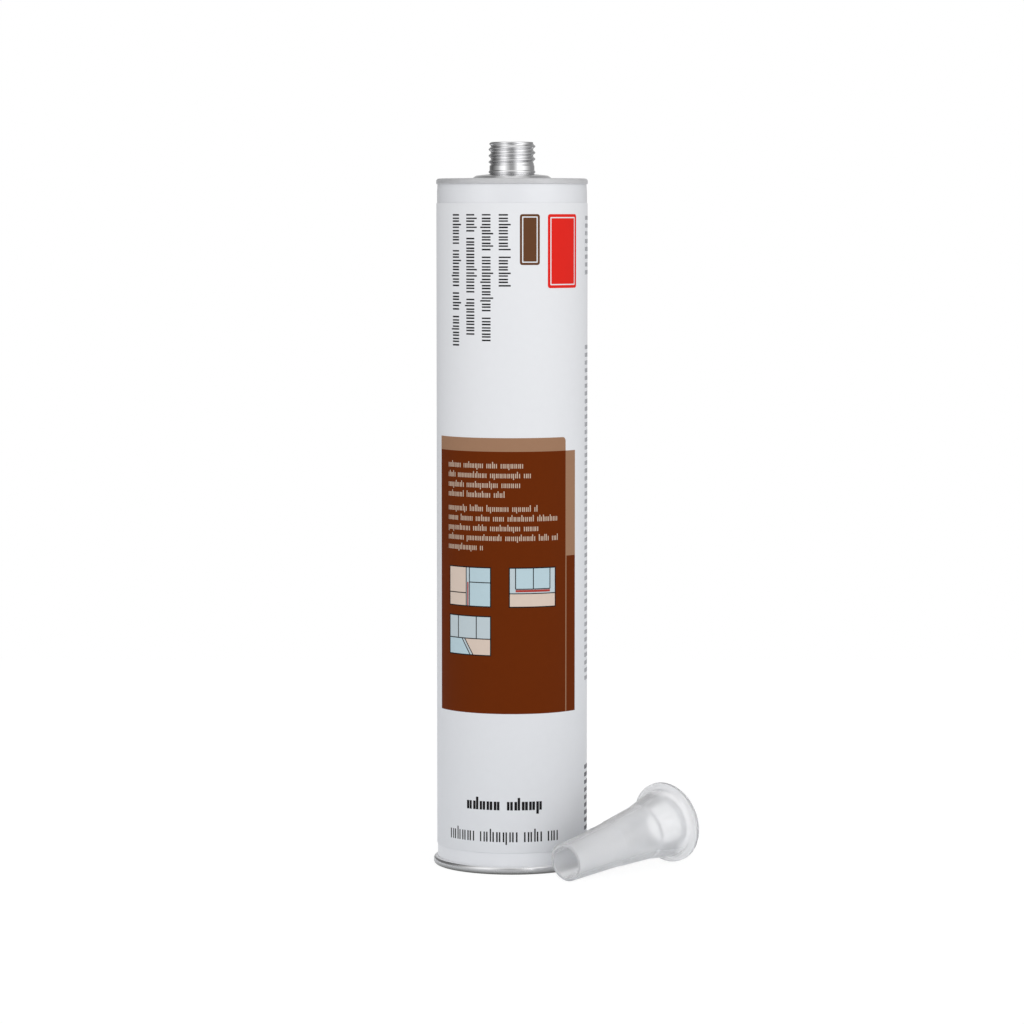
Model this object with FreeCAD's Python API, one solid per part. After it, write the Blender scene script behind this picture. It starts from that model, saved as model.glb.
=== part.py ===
import FreeCAD, Part
import math
import os

# A 300 ml aluminium caulk tube with its nozzle lying beside it.
# Millimetres. The tube stands on its tail along +Z; the origin is the middle of the tail ring.
# The front faces -Y, and +X is on the right when it is seen from the front.

# Drawn tube
tube_diameter = 46.6
tube_wall = 0.4
cartridge_height = 214.4

# Rolled curl round the open tail
curl_diameter = 49.8
curl_height = 2.4
curl_bend = 0.6
curl_lip_gap = 0.25

# Seam bead that holds the end on the tube
bead_diameter = 47.5
bead_height = 1.8
bead_top_radius = 0.55
seam_clearance = 0.05
roller_groove_depth = 0.15
roller_groove_height = 2.2
roller_groove_bend = 1.5

# Pressed end: sunk panel, dome and neck
end_sheet = 0.4
panel_drop = 1.2
dome_foot_diameter = 28.4
dome_shoulder_diameter = 25.2
dome_shoulder_drop = 1.5
dome_shoulder_bend = 2.0
dome_height = 2.9
neck_foot_diameter = 14.8
neck_foot_height = 0.8
neck_plain_diameter = 13.5
neck_plain_height = 2.4
neck_height = 9.6
neck_bore_diameter = 10.8
membrane_thickness = 0.2
membrane_recess = 1.2
small_round = 0.2

# Thread of the neck, right handed with a single start
thread_diameter = 14.5
thread_root_diameter = 12.9
thread_pitch = 1.95
thread_root_gap = 0.45
thread_crest_width = 0.35
thread_margin = 0.3
thread_start_angle = 180
thread_sink = 0.2

# Wrap label, glued round the tube
adhesive_film = 0.05
label_thickness = 0.15
label_foot_height = 6.6
label_top_margin = 7.6
ink_thickness = 0.05
ink_clearance = 0.03

# Plunger at the back of the filling
plunger_front_height = 32.0
plunger_length = 20.0
plunger_clearance = 0.1
plunger_lip_height = 2.2
plunger_lip_depth = 0.6
plunger_wall = 1.6
plunger_skin = 1.8
plunger_bevel = 1.0
boss_diameter = 14.0
boss_wall = 1.4
rib_count = 6
rib_thickness = 1.2
rib_setback = 7.0

# Filling of sealant
filling_clearance = 0.05
filling_plunger_gap = 0.2

# Nozzle, a moulding that is open at its tip
nozzle_length = 49.2
nozzle_tip_diameter = 11.88
nozzle_tip_wall = 1.0
nozzle_step_place = 21.9
nozzle_step_diameter = 14.3
nozzle_step_rise = 0.3
nozzle_waist_place = 36.1
nozzle_waist_diameter = 17.3
nozzle_waist_bend = 12.0
nozzle_flare_diameter = 22.0
nozzle_flare_bend = 1.5
nozzle_flange_diameter = 25.56
nozzle_flange_thickness = 1.2
nozzle_edge_radius = 0.3
nozzle_throat_diameter = 12.6
nozzle_throat_rise = 0.8
nozzle_sleeve_wall = 1.2
nozzle_sleeve_recess = 1.6
nozzle_skirt_wall = 1.2
nozzle_groove_depth = 4.6
nozzle_thread_clearance = 0.15
nozzle_socket_spare = 0.6

# Where the nozzle lies on the floor: the middle of its tip, and its heading in degrees from +X
nozzle_tip_x = 16.4
nozzle_tip_y = -35.8
nozzle_heading = 47.9

# Printed panel: (left, right) are millimetres round the label from the front line, right positive
front_angle = -90
window_spare = 0.1
panel_across = (-28.0, 22.9)
panel_foot = 43.3
panel_height = 80.9
strip_height = 4.2
strip_right = 18.3
side_strip_height = 32.5
hairline_width = 0.4

# Three framed pictures on the panel: (left, right), and how far the top lies below the panel's
frame_height = 12.4
frame_line = 0.35
frames = (((-22.5, -6.5), 35.6), ((-1.0, 14.3), 35.6), ((-22.5, -6.5), 50.7))

# Lines of small print on the panel, by their right ends
panel_print_left = -23.0
panel_print_rights = (4.6, 6.8, 2.8, -1.5, 8.8, 15.4, 8.8, 15.8, -8.1)
panel_print_height = 1.2
panel_print_pitch = 3.0
panel_print_drop = 4.4
panel_print_break = 1.3
lines_above_break = 4

# Print near the label's top edge, measured down from it
top_print_drop = 3.4
red_across = (11.4, 23.4)
red_height = 22.6
brown_across = (2.4, 8.7)
brown_height = 15.5
top_columns = (((-3.4, -1.0), 23.1), ((-8.8, -6.4), 40.2), ((-14.3, -11.8), 38.7), ((-20.1, -17.7), 41.0))

# Print near the label's bottom edge, measured up from it
bold_across = (-14.9, 10.6)
bold_foot = 12.7
bold_height = 3.4
thin_across = (-22.1, 16.9)
thin_foot = 3.2
thin_height = 2.8

# Blocks of small print round the right-hand side: distances from the label's foot and from its top
side_across = (28.4, 44.0)
side_row_height = 0.9
side_row_pitch = 2.4
side_blocks = ((2.4, 175.2), (52.0, 44.0), (178.4, 4.0))

# Radii and levels that the pieces share
tube_r = tube_diameter / 2
bore_r = tube_r - tube_wall
seam_tube_r = tube_r - roller_groove_depth
seam_bore_r = bore_r - roller_groove_depth
bead_foot = cartridge_height - bead_height
groove_foot = bead_foot - roller_groove_height
panel_top = cartridge_height - panel_drop
dome_top = panel_top + dome_height
plain_top = dome_top + neck_plain_height
mouth_top = dome_top + neck_height
membrane_top = mouth_top - membrane_recess
membrane_under = membrane_top - membrane_thickness
chuck_outer_r = seam_bore_r - seam_clearance
chuck_inner_r = chuck_outer_r - end_sheet
neck_bore_r = neck_bore_diameter / 2
root_r = thread_root_diameter / 2
crest_r = thread_diameter / 2
label_inner_r = tube_r + adhesive_film
label_outer_r = label_inner_r + label_thickness
label_foot = label_foot_height
label_top = cartridge_height - label_top_margin
panel_low = label_foot + panel_foot
panel_high = panel_low + panel_height

centre = FreeCAD.Vector(0, 0, 0)
up = FreeCAD.Vector(0, 0, 1)
right = FreeCAD.Vector(1, 0, 0)
back = FreeCAD.Vector(0, 1, 0)


def rounded_outline(corners):
    """Closed wire in the XZ plane through corners of (radius, height, fillet)."""
    points = [FreeCAD.Vector(x, 0, z) for x, z, fillet in corners]
    bends = []
    for i, here in enumerate(points):
        fillet = corners[i][2]
        behind = (points[i - 1] - here).normalize()
        ahead = (points[(i + 1) % len(points)] - here).normalize()
        if fillet == 0:
            bends.append((here, None, here))
            continue
        half_angle = behind.getAngle(ahead) / 2
        reach = fillet / math.tan(half_angle)
        depth = fillet / math.sin(half_angle) - fillet
        middle = here + (behind + ahead).normalize() * depth
        bends.append((here + behind * reach, middle, here + ahead * reach))
    edges = []
    for i, (start, middle, end) in enumerate(bends):
        if middle:
            edges.append(Part.Arc(start, middle, end).toShape())
        next_start = bends[(i + 1) % len(bends)][0]
        edges.append(Part.LineSegment(end, next_start).toShape())
    return Part.Wire(edges)


def turned(corners):
    """Solid of revolution about +Z."""
    return Part.Face(rounded_outline(corners)).revolve(centre, up, 360)


def side_of_sheet(path, offset):
    """One side of a bent sheet, offset to the left of its middle line."""
    points = [FreeCAD.Vector(x, 0, z) for x, z, bend in path]
    runs = [(end - start).normalize() for start, end in zip(points, points[1:])]
    lefts = [FreeCAD.Vector(-run.z, 0, run.x) for run in runs]
    side = [(points[0] + lefts[0] * offset, 0)]
    for i in range(1, len(path) - 1):
        mitre = (lefts[i - 1] + lefts[i]) * (offset / (1 + lefts[i - 1].dot(lefts[i])))
        turns_left = runs[i].dot(lefts[i - 1]) > 0
        bend = path[i][2] - offset if turns_left else path[i][2] + offset
        side.append((points[i] + mitre, bend))
    side.append((points[-1] + lefts[-1] * offset, 0))
    return [(point.x, point.z, bend) for point, bend in side]


def bent_sheet(path, thickness):
    """Turned sheet of one thickness along the (radius, height, bend) corners of its middle line."""
    left_side = side_of_sheet(path, thickness / 2)
    right_side = side_of_sheet(path, -thickness / 2)
    return turned(left_side + right_side[::-1])


def make_tube():
    """Drawn tube, rolled in under the seam and curled outwards at its open tail."""
    middle_r = tube_r - tube_wall / 2
    curl_r = curl_diameter / 2 - tube_wall / 2
    curl_foot = tube_wall / 2
    curl_top = curl_height - tube_wall / 2
    path = [
        (middle_r - roller_groove_depth, cartridge_height - end_sheet - seam_clearance, 0),
        (middle_r - roller_groove_depth, bead_foot - roller_groove_depth, roller_groove_bend),
        (middle_r, groove_foot, roller_groove_bend),
        (middle_r, curl_foot, curl_bend),
        (curl_r, curl_foot, curl_bend),
        (curl_r, curl_top, curl_bend),
        (tube_r + curl_lip_gap, curl_top, 0),
    ]
    return bent_sheet(path, tube_wall)


def thread_ridge():
    """One helical ridge that fills the neck between its plain part and its mouth."""
    base_width = thread_pitch - thread_root_gap
    start = plain_top + thread_margin + base_width / 2
    length = mouth_top - thread_margin - base_width / 2 - start
    flank = (base_width - thread_crest_width) / 2
    spread = base_width / 2 + flank * thread_sink / (crest_r - root_r)
    section = Part.makePolygon([
        FreeCAD.Vector(root_r - thread_sink, 0, start - spread),
        FreeCAD.Vector(crest_r, 0, start - thread_crest_width / 2),
        FreeCAD.Vector(crest_r, 0, start + thread_crest_width / 2),
        FreeCAD.Vector(root_r - thread_sink, 0, start + spread),
        FreeCAD.Vector(root_r - thread_sink, 0, start - spread),
    ])
    helix = Part.makeLongHelix(thread_pitch, length, root_r, 0, False)
    helix.translate(up * start)
    ridge = helix.makePipeShell([section], True, True)
    ridge.rotate(centre, up, thread_start_angle)
    return ridge


def dome_underside(drop):
    """Corners of the end's underside from its panel up into the neck, lowered by a drop."""
    return [
        (chuck_outer_r - drop, panel_top - end_sheet - drop, 0),
        (dome_foot_diameter / 2, panel_top - end_sheet - drop, 0),
        (dome_shoulder_diameter / 2, dome_top - dome_shoulder_drop - end_sheet - drop, dome_shoulder_bend),
        (neck_bore_r - drop, dome_top - end_sheet - drop, 0),
        (neck_bore_r - drop, membrane_under - drop, 0),
        (0, membrane_under - drop, 0),
    ]


def make_end():
    """Pressed end: neck with a pierceable membrane, dome, sunk panel, and a bead over the tube."""
    bead_r = bead_diameter / 2
    skirt_r = seam_tube_r + seam_clearance
    bead_under = cartridge_height - end_sheet
    outside = [
        (0, membrane_top, 0),
        (neck_bore_r, membrane_top, 0),
        (neck_bore_r, mouth_top, small_round),
        (root_r, mouth_top, small_round),
        (root_r, plain_top + small_round, small_round),
        (neck_plain_diameter / 2, plain_top - small_round, small_round),
        (neck_plain_diameter / 2, dome_top + neck_foot_height, small_round),
        (neck_foot_diameter / 2, dome_top, small_round),
        (dome_shoulder_diameter / 2, dome_top - dome_shoulder_drop, dome_shoulder_bend),
        (dome_foot_diameter / 2, panel_top, small_round),
        (chuck_inner_r, panel_top, small_round),
        (chuck_inner_r, cartridge_height, bead_top_radius),
        (bead_r, cartridge_height, bead_top_radius),
        (bead_r, bead_foot, small_round),
        (skirt_r, bead_foot, 0),
        (skirt_r, bead_under, 0),
        (chuck_outer_r, bead_under, 0),
    ]
    return turned(outside + dome_underside(0)).fuse(thread_ridge())


def make_plunger():
    """Cup with a sealing lip at each end, stiffened by ribs round a hollow boss."""
    lip_r = bore_r - plunger_clearance
    body_r = lip_r - plunger_lip_depth
    inner_r = body_r - plunger_wall
    front = plunger_front_height
    tail = front - plunger_length
    lip_top = front - plunger_bevel
    lip_foot = lip_top - plunger_lip_height
    cup = turned([
        (0, front, 0),
        (lip_r - plunger_bevel, front, 0),
        (lip_r, lip_top, 0),
        (lip_r, lip_foot, 0),
        (body_r, lip_foot - plunger_lip_depth, 0),
        (body_r, tail + plunger_lip_height + plunger_lip_depth, 0),
        (lip_r, tail + plunger_lip_height, 0),
        (lip_r, tail, small_round),
        (inner_r, tail, small_round),
        (inner_r, front - plunger_skin, plunger_bevel),
        (0, front - plunger_skin, 0),
    ])
    rib_foot = tail + rib_setback
    rib_height = front - plunger_skin / 2 - rib_foot
    boss_r = boss_diameter / 2
    boss = Part.makeCylinder(boss_r, rib_height, up * rib_foot)
    boss = boss.cut(Part.makeCylinder(boss_r - boss_wall, rib_height, up * rib_foot))
    rib_start = boss_r - boss_wall / 2
    rib_reach = body_r - plunger_wall / 2 - rib_start
    stiffeners = [boss]
    for i in range(rib_count):
        corner = FreeCAD.Vector(rib_start, -rib_thickness / 2, rib_foot)
        rib = Part.makeBox(rib_reach, rib_thickness, rib_height, corner)
        rib.rotate(centre, up, i * 360 / rib_count)
        stiffeners.append(rib)
    return cup.fuse(stiffeners).removeSplitter()


def make_filling():
    """Sealant that fills the tube from the plunger to the membrane."""
    fill_r = bore_r - filling_clearance
    foot = plunger_front_height + filling_plunger_gap
    return turned([
        (0, foot, 0),
        (fill_r, foot, 0),
        (fill_r, groove_foot - roller_groove_depth, 0),
        (fill_r - roller_groove_depth, bead_foot - roller_groove_height / 2, 0),
    ] + dome_underside(filling_clearance + seam_clearance))


def make_nozzle():
    """Nozzle along +Z from its cut tip to its flange, with a socket that takes the neck."""
    length = nozzle_length
    flange_face = length - nozzle_flange_thickness
    tip_r = nozzle_tip_diameter / 2
    step_r = nozzle_step_diameter / 2
    waist_r = nozzle_waist_diameter / 2
    flare_r = nozzle_flare_diameter / 2
    flange_r = nozzle_flange_diameter / 2
    socket_r = crest_r + nozzle_thread_clearance
    sleeve_r = socket_r + nozzle_sleeve_wall
    sleeve_end = length - nozzle_sleeve_recess
    socket_foot = sleeve_end - neck_height - nozzle_socket_spare
    groove_foot_place = length - nozzle_groove_depth
    taper = (flare_r - waist_r) / (flange_face - nozzle_waist_place)
    groove_r = waist_r + (groove_foot_place - nozzle_waist_place) * taper - nozzle_skirt_wall
    outside = [
        (tip_r, 0, nozzle_edge_radius),
        (step_r, nozzle_step_place, 0),
        (step_r + nozzle_step_rise, nozzle_step_place + nozzle_step_rise, small_round),
        (waist_r, nozzle_waist_place, nozzle_waist_bend),
        (flare_r, flange_face, nozzle_flare_bend),
        (flange_r, flange_face, nozzle_edge_radius),
        (flange_r, length, nozzle_edge_radius),
    ]
    inside = [
        (flare_r - nozzle_skirt_wall, length, small_round),
        (groove_r, groove_foot_place, 0),
        (sleeve_r, groove_foot_place, 0),
        (sleeve_r, sleeve_end, 0),
        (socket_r, sleeve_end, 0),
        (socket_r, socket_foot, 0),
        (nozzle_throat_diameter / 2, socket_foot - nozzle_throat_rise, 0),
        (tip_r - nozzle_tip_wall, 0, small_round),
    ]
    return turned(outside + inside)


def lay_down(nozzle):
    """Lays the nozzle on the floor, resting on the rims of its tip and its flange."""
    tip_r = nozzle_tip_diameter / 2
    rise = (nozzle_flange_diameter - nozzle_tip_diameter) / 2
    tilt = math.atan2(rise, nozzle_length - nozzle_flange_thickness)
    rim = tip_r - nozzle_edge_radius
    axis_height = rim * math.cos(tilt) + nozzle_edge_radius * (1 - math.sin(tilt))
    laid = nozzle.copy()
    laid.rotate(centre, back, 90 - math.degrees(tilt))
    laid.rotate(centre, up, nozzle_heading)
    laid.translate(FreeCAD.Vector(nozzle_tip_x, nozzle_tip_y, axis_height))
    return laid


def ink_field(place, layer=0, spare=0):
    """Field of ink at a place of ((left, right), foot, top), in a layer that counts up from the label."""
    across, foot, top = place
    inner_r = label_outer_r + ink_clearance + layer * (ink_thickness + ink_clearance)
    outer_r = inner_r + ink_thickness
    outline = rounded_outline([
        (inner_r - spare, foot, 0),
        (outer_r + spare, foot, 0),
        (outer_r + spare, top, 0),
        (inner_r - spare, top, 0),
    ])
    face = Part.Face(outline)
    face.rotate(centre, up, math.degrees(across[0] / label_outer_r) + front_angle)
    return face.revolve(centre, up, math.degrees((across[1] - across[0]) / label_outer_r))


def panel_print():
    """Places of the lines of small print at the top of the printed panel."""
    places = []
    for i, line_right in enumerate(panel_print_rights):
        middle = panel_high - panel_print_drop - i * panel_print_pitch
        if i >= lines_above_break:
            middle -= panel_print_break
        half = panel_print_height / 2
        places.append(((panel_print_left, line_right), middle - half, middle + half))
    return places


def picture_frames():
    """Places of the three pictures with the dark lines round them."""
    return [(across, panel_high - drop - frame_height, panel_high - drop) for across, drop in frames]


def picture_fields():
    """Places of the pale fields inside the frames."""
    line = frame_line
    return [((across[0] + line, across[1] - line), foot + line, top - line)
            for across, foot, top in picture_frames()]


def brown_panel():
    """Places of the two parts of the panel's brown ground, left and right of the hairline."""
    return [
        ((panel_across[0], strip_right), panel_low, panel_high),
        ((strip_right + hairline_width, panel_across[1]), panel_low, panel_high - side_strip_height),
    ]


def tan_strips():
    """Places of the strips along the panel's top and right edges, and of the hairline below."""
    side_foot = panel_high - side_strip_height
    return [
        ((panel_across[0], strip_right), panel_high, panel_high + strip_height),
        ((strip_right, panel_across[1]), side_foot, panel_high),
        ((strip_right, strip_right + hairline_width), panel_low, side_foot),
    ]


def side_print():
    """Places of the rows of small print on the right-hand side."""
    places = []
    for low_margin, high_margin in side_blocks:
        low = label_foot + low_margin
        while low + side_row_height < label_top - high_margin:
            places.append((side_across, low, low + side_row_height))
            low += side_row_pitch
    return places


def print_on_label():
    """Places of the print that lies straight on the label, by node."""
    high = label_top - top_print_drop
    return {
        "brown_panel": brown_panel(),
        "tan_strips": tan_strips(),
        "red_block": [(red_across, high - red_height, high)],
        "brown_block": [(brown_across, high - brown_height, high)],
        "top_print": [(across, high - drop, high) for across, drop in top_columns],
        "bold_line": [(bold_across, label_foot + bold_foot, label_foot + bold_foot + bold_height)],
        "thin_line": [(thin_across, label_foot + thin_foot, label_foot + thin_foot + thin_height)],
        "side_print": side_print(),
    }


def print_on_panel():
    """Fields of print that lie on the brown panel, by node."""
    rims = []
    for rim, field in zip(picture_frames(), picture_fields()):
        rims.append(ink_field(rim, 1).cut(ink_field(field, 1, window_spare)))
    return {
        "panel_print": [ink_field(place, 1) for place in panel_print()],
        "picture_frames": rims,
        "picture_fields": [ink_field(place, 1) for place in picture_fields()],
    }


def make_label():
    """Wrap label, a plain sleeve."""
    return turned([
        (label_inner_r, label_foot, 0),
        (label_outer_r, label_foot, 0),
        (label_outer_r, label_top, 0),
        (label_inner_r, label_top, 0),
    ])


def main():
    nodes = {
        "cartridge_tube": make_tube(),
        "threaded_end": make_end(),
        "wrap_label": make_label(),
        "plunger": make_plunger(),
        "sealant": make_filling(),
        "nozzle": lay_down(make_nozzle()),
    }
    for name, places in print_on_label().items():
        nodes[name] = Part.makeCompound([ink_field(place) for place in places])
    for name, pieces in print_on_panel().items():
        nodes[name] = Part.makeCompound(pieces)
    os.makedirs("parts", exist_ok=True)
    for name, shape in nodes.items():
        shape.exportStep(f"parts/{name}.step")
        box = shape.BoundBox
        print(f"{name}: {len(shape.Solids)} solid, {shape.Volume:.1f} mm3, valid {shape.isValid()},",
              f"z {box.ZMin:.2f} to {box.ZMax:.2f}")


main()
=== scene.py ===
# %% [markdown]
# A caulk tube with its nozzle, dressed for a photograph
# The tube, its end, the label and the nozzle come in as plain solids at their real size. They
# are the frame of this lesson: nothing in it is moved. What we add is what a camera sees from
# near by, such as a round-crested thread, rolled edges, ink on film, lacquer, bare metal and
# milky plastic.

# %% Load the frame
import math
import random

import bmesh
import bpy
from mathutils import Matrix, Vector


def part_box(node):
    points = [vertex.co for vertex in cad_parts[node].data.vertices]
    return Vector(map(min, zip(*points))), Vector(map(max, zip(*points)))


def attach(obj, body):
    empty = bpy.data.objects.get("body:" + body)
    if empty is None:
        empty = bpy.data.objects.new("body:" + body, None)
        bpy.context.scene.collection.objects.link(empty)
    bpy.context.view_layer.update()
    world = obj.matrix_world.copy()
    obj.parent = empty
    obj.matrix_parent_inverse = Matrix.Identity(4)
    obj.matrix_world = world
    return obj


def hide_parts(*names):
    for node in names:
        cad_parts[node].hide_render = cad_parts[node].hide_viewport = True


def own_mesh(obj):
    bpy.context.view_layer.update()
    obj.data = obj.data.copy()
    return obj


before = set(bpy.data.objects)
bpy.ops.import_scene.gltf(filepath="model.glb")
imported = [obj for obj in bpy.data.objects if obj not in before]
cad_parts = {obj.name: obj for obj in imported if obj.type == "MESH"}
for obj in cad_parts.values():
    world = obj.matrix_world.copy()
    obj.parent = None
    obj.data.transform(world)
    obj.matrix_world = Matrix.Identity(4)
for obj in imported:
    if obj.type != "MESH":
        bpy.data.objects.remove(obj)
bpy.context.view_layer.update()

mm = 0.001

# %% [markdown]
# The camera
# The photograph was taken with a long lens from a little above the top of the tube. A long lens
# far away keeps the two sides of the tube almost parallel. The eye level was read from the way
# the round edges open: they are straight near the top of the tube, and open downwards at its
# foot.

# %% Camera
eye_distance = 1204 * mm
eye_height = 204 * mm
pitch_down = math.radians(4.44)
focal_length = 135.77

camera_data = bpy.data.cameras.new("camera")
camera_data.sensor_width = 36
camera_data.lens = focal_length
camera = bpy.data.objects.new("camera", camera_data)
camera.location = (0, -eye_distance, eye_height)
camera.rotation_euler = (math.radians(90) - pitch_down, 0, 0)
bpy.context.scene.collection.objects.link(camera)
bpy.context.scene.camera = camera
print("camera at", tuple(camera.location))

# %% [markdown]
# Sums with sockets
# A finish is a sum of patterns, and sums are easiest to read as sums. This small class wraps an
# output socket, so that 1 - mask or lines * 0.2 adds the Math nodes by itself. Every other kind
# of node comes from one method, which takes the node's settings first and then what feeds it.


# %% Socket sums
class Wire:
    def __init__(self, tree, socket):
        self.tree = tree
        self.socket = socket

    def combine(self, operation, first, second):
        return self.tree.add("ShaderNodeMath", {"operation": operation}, {0: first, 1: second})

    def __add__(self, other):
        return self.combine("ADD", self, other)

    def __radd__(self, other):
        return self.combine("ADD", other, self)

    def __sub__(self, other):
        return self.combine("SUBTRACT", self, other)

    def __rsub__(self, other):
        return self.combine("SUBTRACT", other, self)

    def __mul__(self, other):
        return self.combine("MULTIPLY", self, other)

    def __rmul__(self, other):
        return self.combine("MULTIPLY", other, self)

    def __gt__(self, other):
        return self.combine("GREATER_THAN", self, other)

    def __lt__(self, other):
        return self.combine("LESS_THAN", self, other)


class Board:
    def __init__(self, owner):
        owner.use_nodes = True
        self.nodes = owner.node_tree.nodes
        self.links = owner.node_tree.links
        self.nodes.clear()

    def add(self, kind, settings=None, inputs=None, output=0):
        node = self.nodes.new(kind)
        for name, value in (settings or {}).items():
            if name == "stops":
                self.set_stops(node.color_ramp, value)
            else:
                setattr(node, name, value)
        for name, value in (inputs or {}).items():
            if isinstance(value, Wire):
                self.links.new(value.socket, node.inputs[name])
            else:
                node.inputs[name].default_value = value
        return Wire(self, node.outputs[output]) if len(node.outputs) else None

    def set_stops(self, ramp, stops):
        while len(ramp.elements) < len(stops):
            ramp.elements.new(1)
        for element, (place, level) in zip(ramp.elements, stops):
            element.position = place
            element.color = (level, level, level, 1)

    def mix(self, share, first, second):
        inputs = {0: share, 6: first, 7: second}
        return self.add("ShaderNodeMix", {"data_type": "RGBA"}, inputs, output=2)

    def parts(self, vector):
        split = self.add("ShaderNodeSeparateXYZ", inputs={0: vector})
        outputs = split.socket.node.outputs
        return [Wire(self, outputs[i]) for i in range(3)]

    def vector(self, x, y, z):
        return self.add("ShaderNodeCombineXYZ", inputs={0: x, 1: y, 2: z})

    def place(self):
        return self.add("ShaderNodeTexCoord", output="Object")

    def noise(self, vector, scale, detail=3.0, roughness=0.5):
        inputs = {"Vector": vector, "Scale": scale, "Detail": detail, "Roughness": roughness}
        return self.add("ShaderNodeTexNoise", inputs=inputs)

    def bump(self, height, distance, strength=1.0):
        inputs = {"Height": height, "Distance": distance, "Strength": strength}
        return self.add("ShaderNodeBump", inputs=inputs)


def colour(red, green, blue):
    """A colour as it is read from a picture, 0 to 255, in the linear form that shaders take."""
    levels = []
    for level in (red, green, blue):
        share = level / 255
        levels.append(share / 12.92 if share <= 0.04045 else ((share + 0.055) / 1.055) ** 2.4)
    return (*levels, 1)


print("white paper in linear levels:", colour(232, 232, 234))

# %% [markdown]
# Finishes on one shader
# Every finish here is the Principled shader with its own patterns. What is the same all over a
# surface is set on the shader itself, and only what varies is wired, so the finish can be
# baked.


# %% A finish
def finish_of(name, board_work, **constants):
    """Makes a material. board_work(board) returns the wires that feed the shader."""
    material = bpy.data.materials.new(name)
    board = Board(material)
    inputs = {key.replace("_", " "): value for key, value in constants.items()}
    inputs.update(board_work(board))
    shader = board.add("ShaderNodeBsdfPrincipled", inputs=inputs)
    board.add("ShaderNodeOutputMaterial", inputs={0: shader})
    print("finish:", name)
    return material


# %% [markdown]
# Bare aluminium
# The end, the seam and the rolled edge are drawn aluminium with nothing on it. Rolls and dies
# leave very fine rings round such a part, which blur what it mirrors along the height. The
# shader's anisotropy could blur it too, but noise that is stretched round the axis also shows
# as rings from near by. A second, coarser noise gives faint handling marks. The rolled edges
# are duller than the neck, and the seam, which the rollers squeezed, is dullest. The underside
# of the curl is darkened to near black in its colour: painted shade, standing for the shade and
# the dark reflection under it. The inside of the tube is dull and pale, with a thin film of lacquer
# on it.


# %% Bare aluminium
def ring_lines(board, scale, squeeze):
    """Noise that runs round the axis: it depends on height and radius, and hardly on the angle."""
    x, y, z = board.parts(board.place())
    return board.noise(board.vector(x * squeeze, y * squeeze, z), scale, 4.0, 0.6)


rolled_from = 20 * mm
bore_within = 23 * mm
bore_below = 205 * mm
seam_above = 100 * mm
# Heights of the painted shade under the curl: full below the first, gone above the second.
painted_shade_full = 0.1 * mm
painted_shade_top = 1.9 * mm


def aluminium_work(board):
    rings = ring_lines(board, 9000, 0.02)
    marks = board.noise(board.place(), 260, 4.0, 0.6)
    tone = board.mix(marks, (0.66, 0.66, 0.67, 1), (0.82, 0.82, 0.83, 1))
    x, y, z = board.parts(board.place())
    from_axis = x * x + y * y
    rolled = from_axis > rolled_from ** 2
    seam = rolled * (z > seam_above)
    bore = rolled * (from_axis < bore_within ** 2) * (z < bore_below)
    roughness = 0.06 + marks * 0.08 + rolled * 0.18 + seam * 0.50 + bore * 0.3
    # Painted shade: the colour goes to near black towards the foot of the curl, for the shade and
    # dark reflection on its underside.
    heights = {0: z, 1: painted_shade_full, 2: painted_shade_top, 3: 0.0, 4: 1.0}
    outside_painted_shade = board.add("ShaderNodeMapRange", inputs=heights)
    tone = board.mix(outside_painted_shade, (0.10, 0.10, 0.09, 1), tone)
    return {"Base Color": tone, "Roughness": roughness, "Metallic": 1 - bore * 0.6,
            "Normal": board.bump(rings, 0.002 * mm, 0.5)}


aluminium = finish_of("bare_aluminium", aluminium_work)

# %% [markdown]
# White lacquer
# The outside of the tube is roller-coated white before it is necked and curled. Lacquer is
# smooth and hard with a clear gloss, so it gets a thin coat over a white that hardly varies.


# %% Lacquer
def lacquer_work(board):
    cloud = board.noise(board.place(), 90, 2.0)
    orange_peel = board.noise(board.place(), 1400, 2.0)
    tone = board.mix(cloud, colour(226, 227, 230), colour(234, 235, 237))
    return {"Base Color": tone, "Normal": board.bump(orange_peel, 0.002 * mm, 0.4)}


lacquer = finish_of("lacquer", lacquer_work, Roughness=0.32, Coat_Weight=0.35, Coat_Roughness=0.12)

# %% [markdown]
# Label film and inks
# The label is a white film that is printed and varnished, so paper and ink share one satin
# skin. Each ink is the same recipe with its own colour: a faint mottle, as solid print always
# has, and a very fine grain that breaks up the gloss.


# %% Label film and inks
def print_work(base, depth):
    """Recipe of one printed colour; depth is how far the mottle darkens it."""
    dark = (*[level * (1 - depth) for level in base[:3]], 1)

    def work(board):
        mottle = board.noise(board.place(), 420, 4.0, 0.6)
        grain = board.noise(board.place(), 5200, 2.0)
        roughness = 0.50 + grain * 0.12
        normal = board.bump(grain, 0.0015 * mm, 0.5)
        tone = board.mix(mottle, dark, base)
        return {"Base Color": tone, "Roughness": roughness, "Normal": normal}

    return work


inks = {
    "label_film": (colour(233, 234, 236), 0.03),
    "brown_print": (colour(107, 43, 6), 0.10),
    "tan_print": (colour(162, 124, 97), 0.06),
    "cream_print": (colour(205, 184, 164), 0.06),
    "dark_print": (colour(30, 28, 30), 0.10),
    "picture_pale": (colour(196, 208, 212), 0.04),
    "picture_blue": (colour(190, 212, 219), 0.06),
    "picture_sand": (colour(222, 203, 188), 0.06),
    "picture_red": (colour(176, 66, 58), 0.08),
    "red_print": (colour(230, 42, 34), 0.06),
    "block_brown": (colour(104, 68, 46), 0.08),
    "grey_print": (colour(166, 167, 170), 0.06),
    "dark_grey": (colour(84, 84, 88), 0.06),
}
film_gloss = 0.4
ink_gloss = 0.04
ink = {}
for name, recipe in inks.items():
    gloss = film_gloss if name == "label_film" else ink_gloss
    ink[name] = finish_of(name, print_work(*recipe), Specular_IOR_Level=gloss)
print("printed colours:", len(ink))

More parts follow.
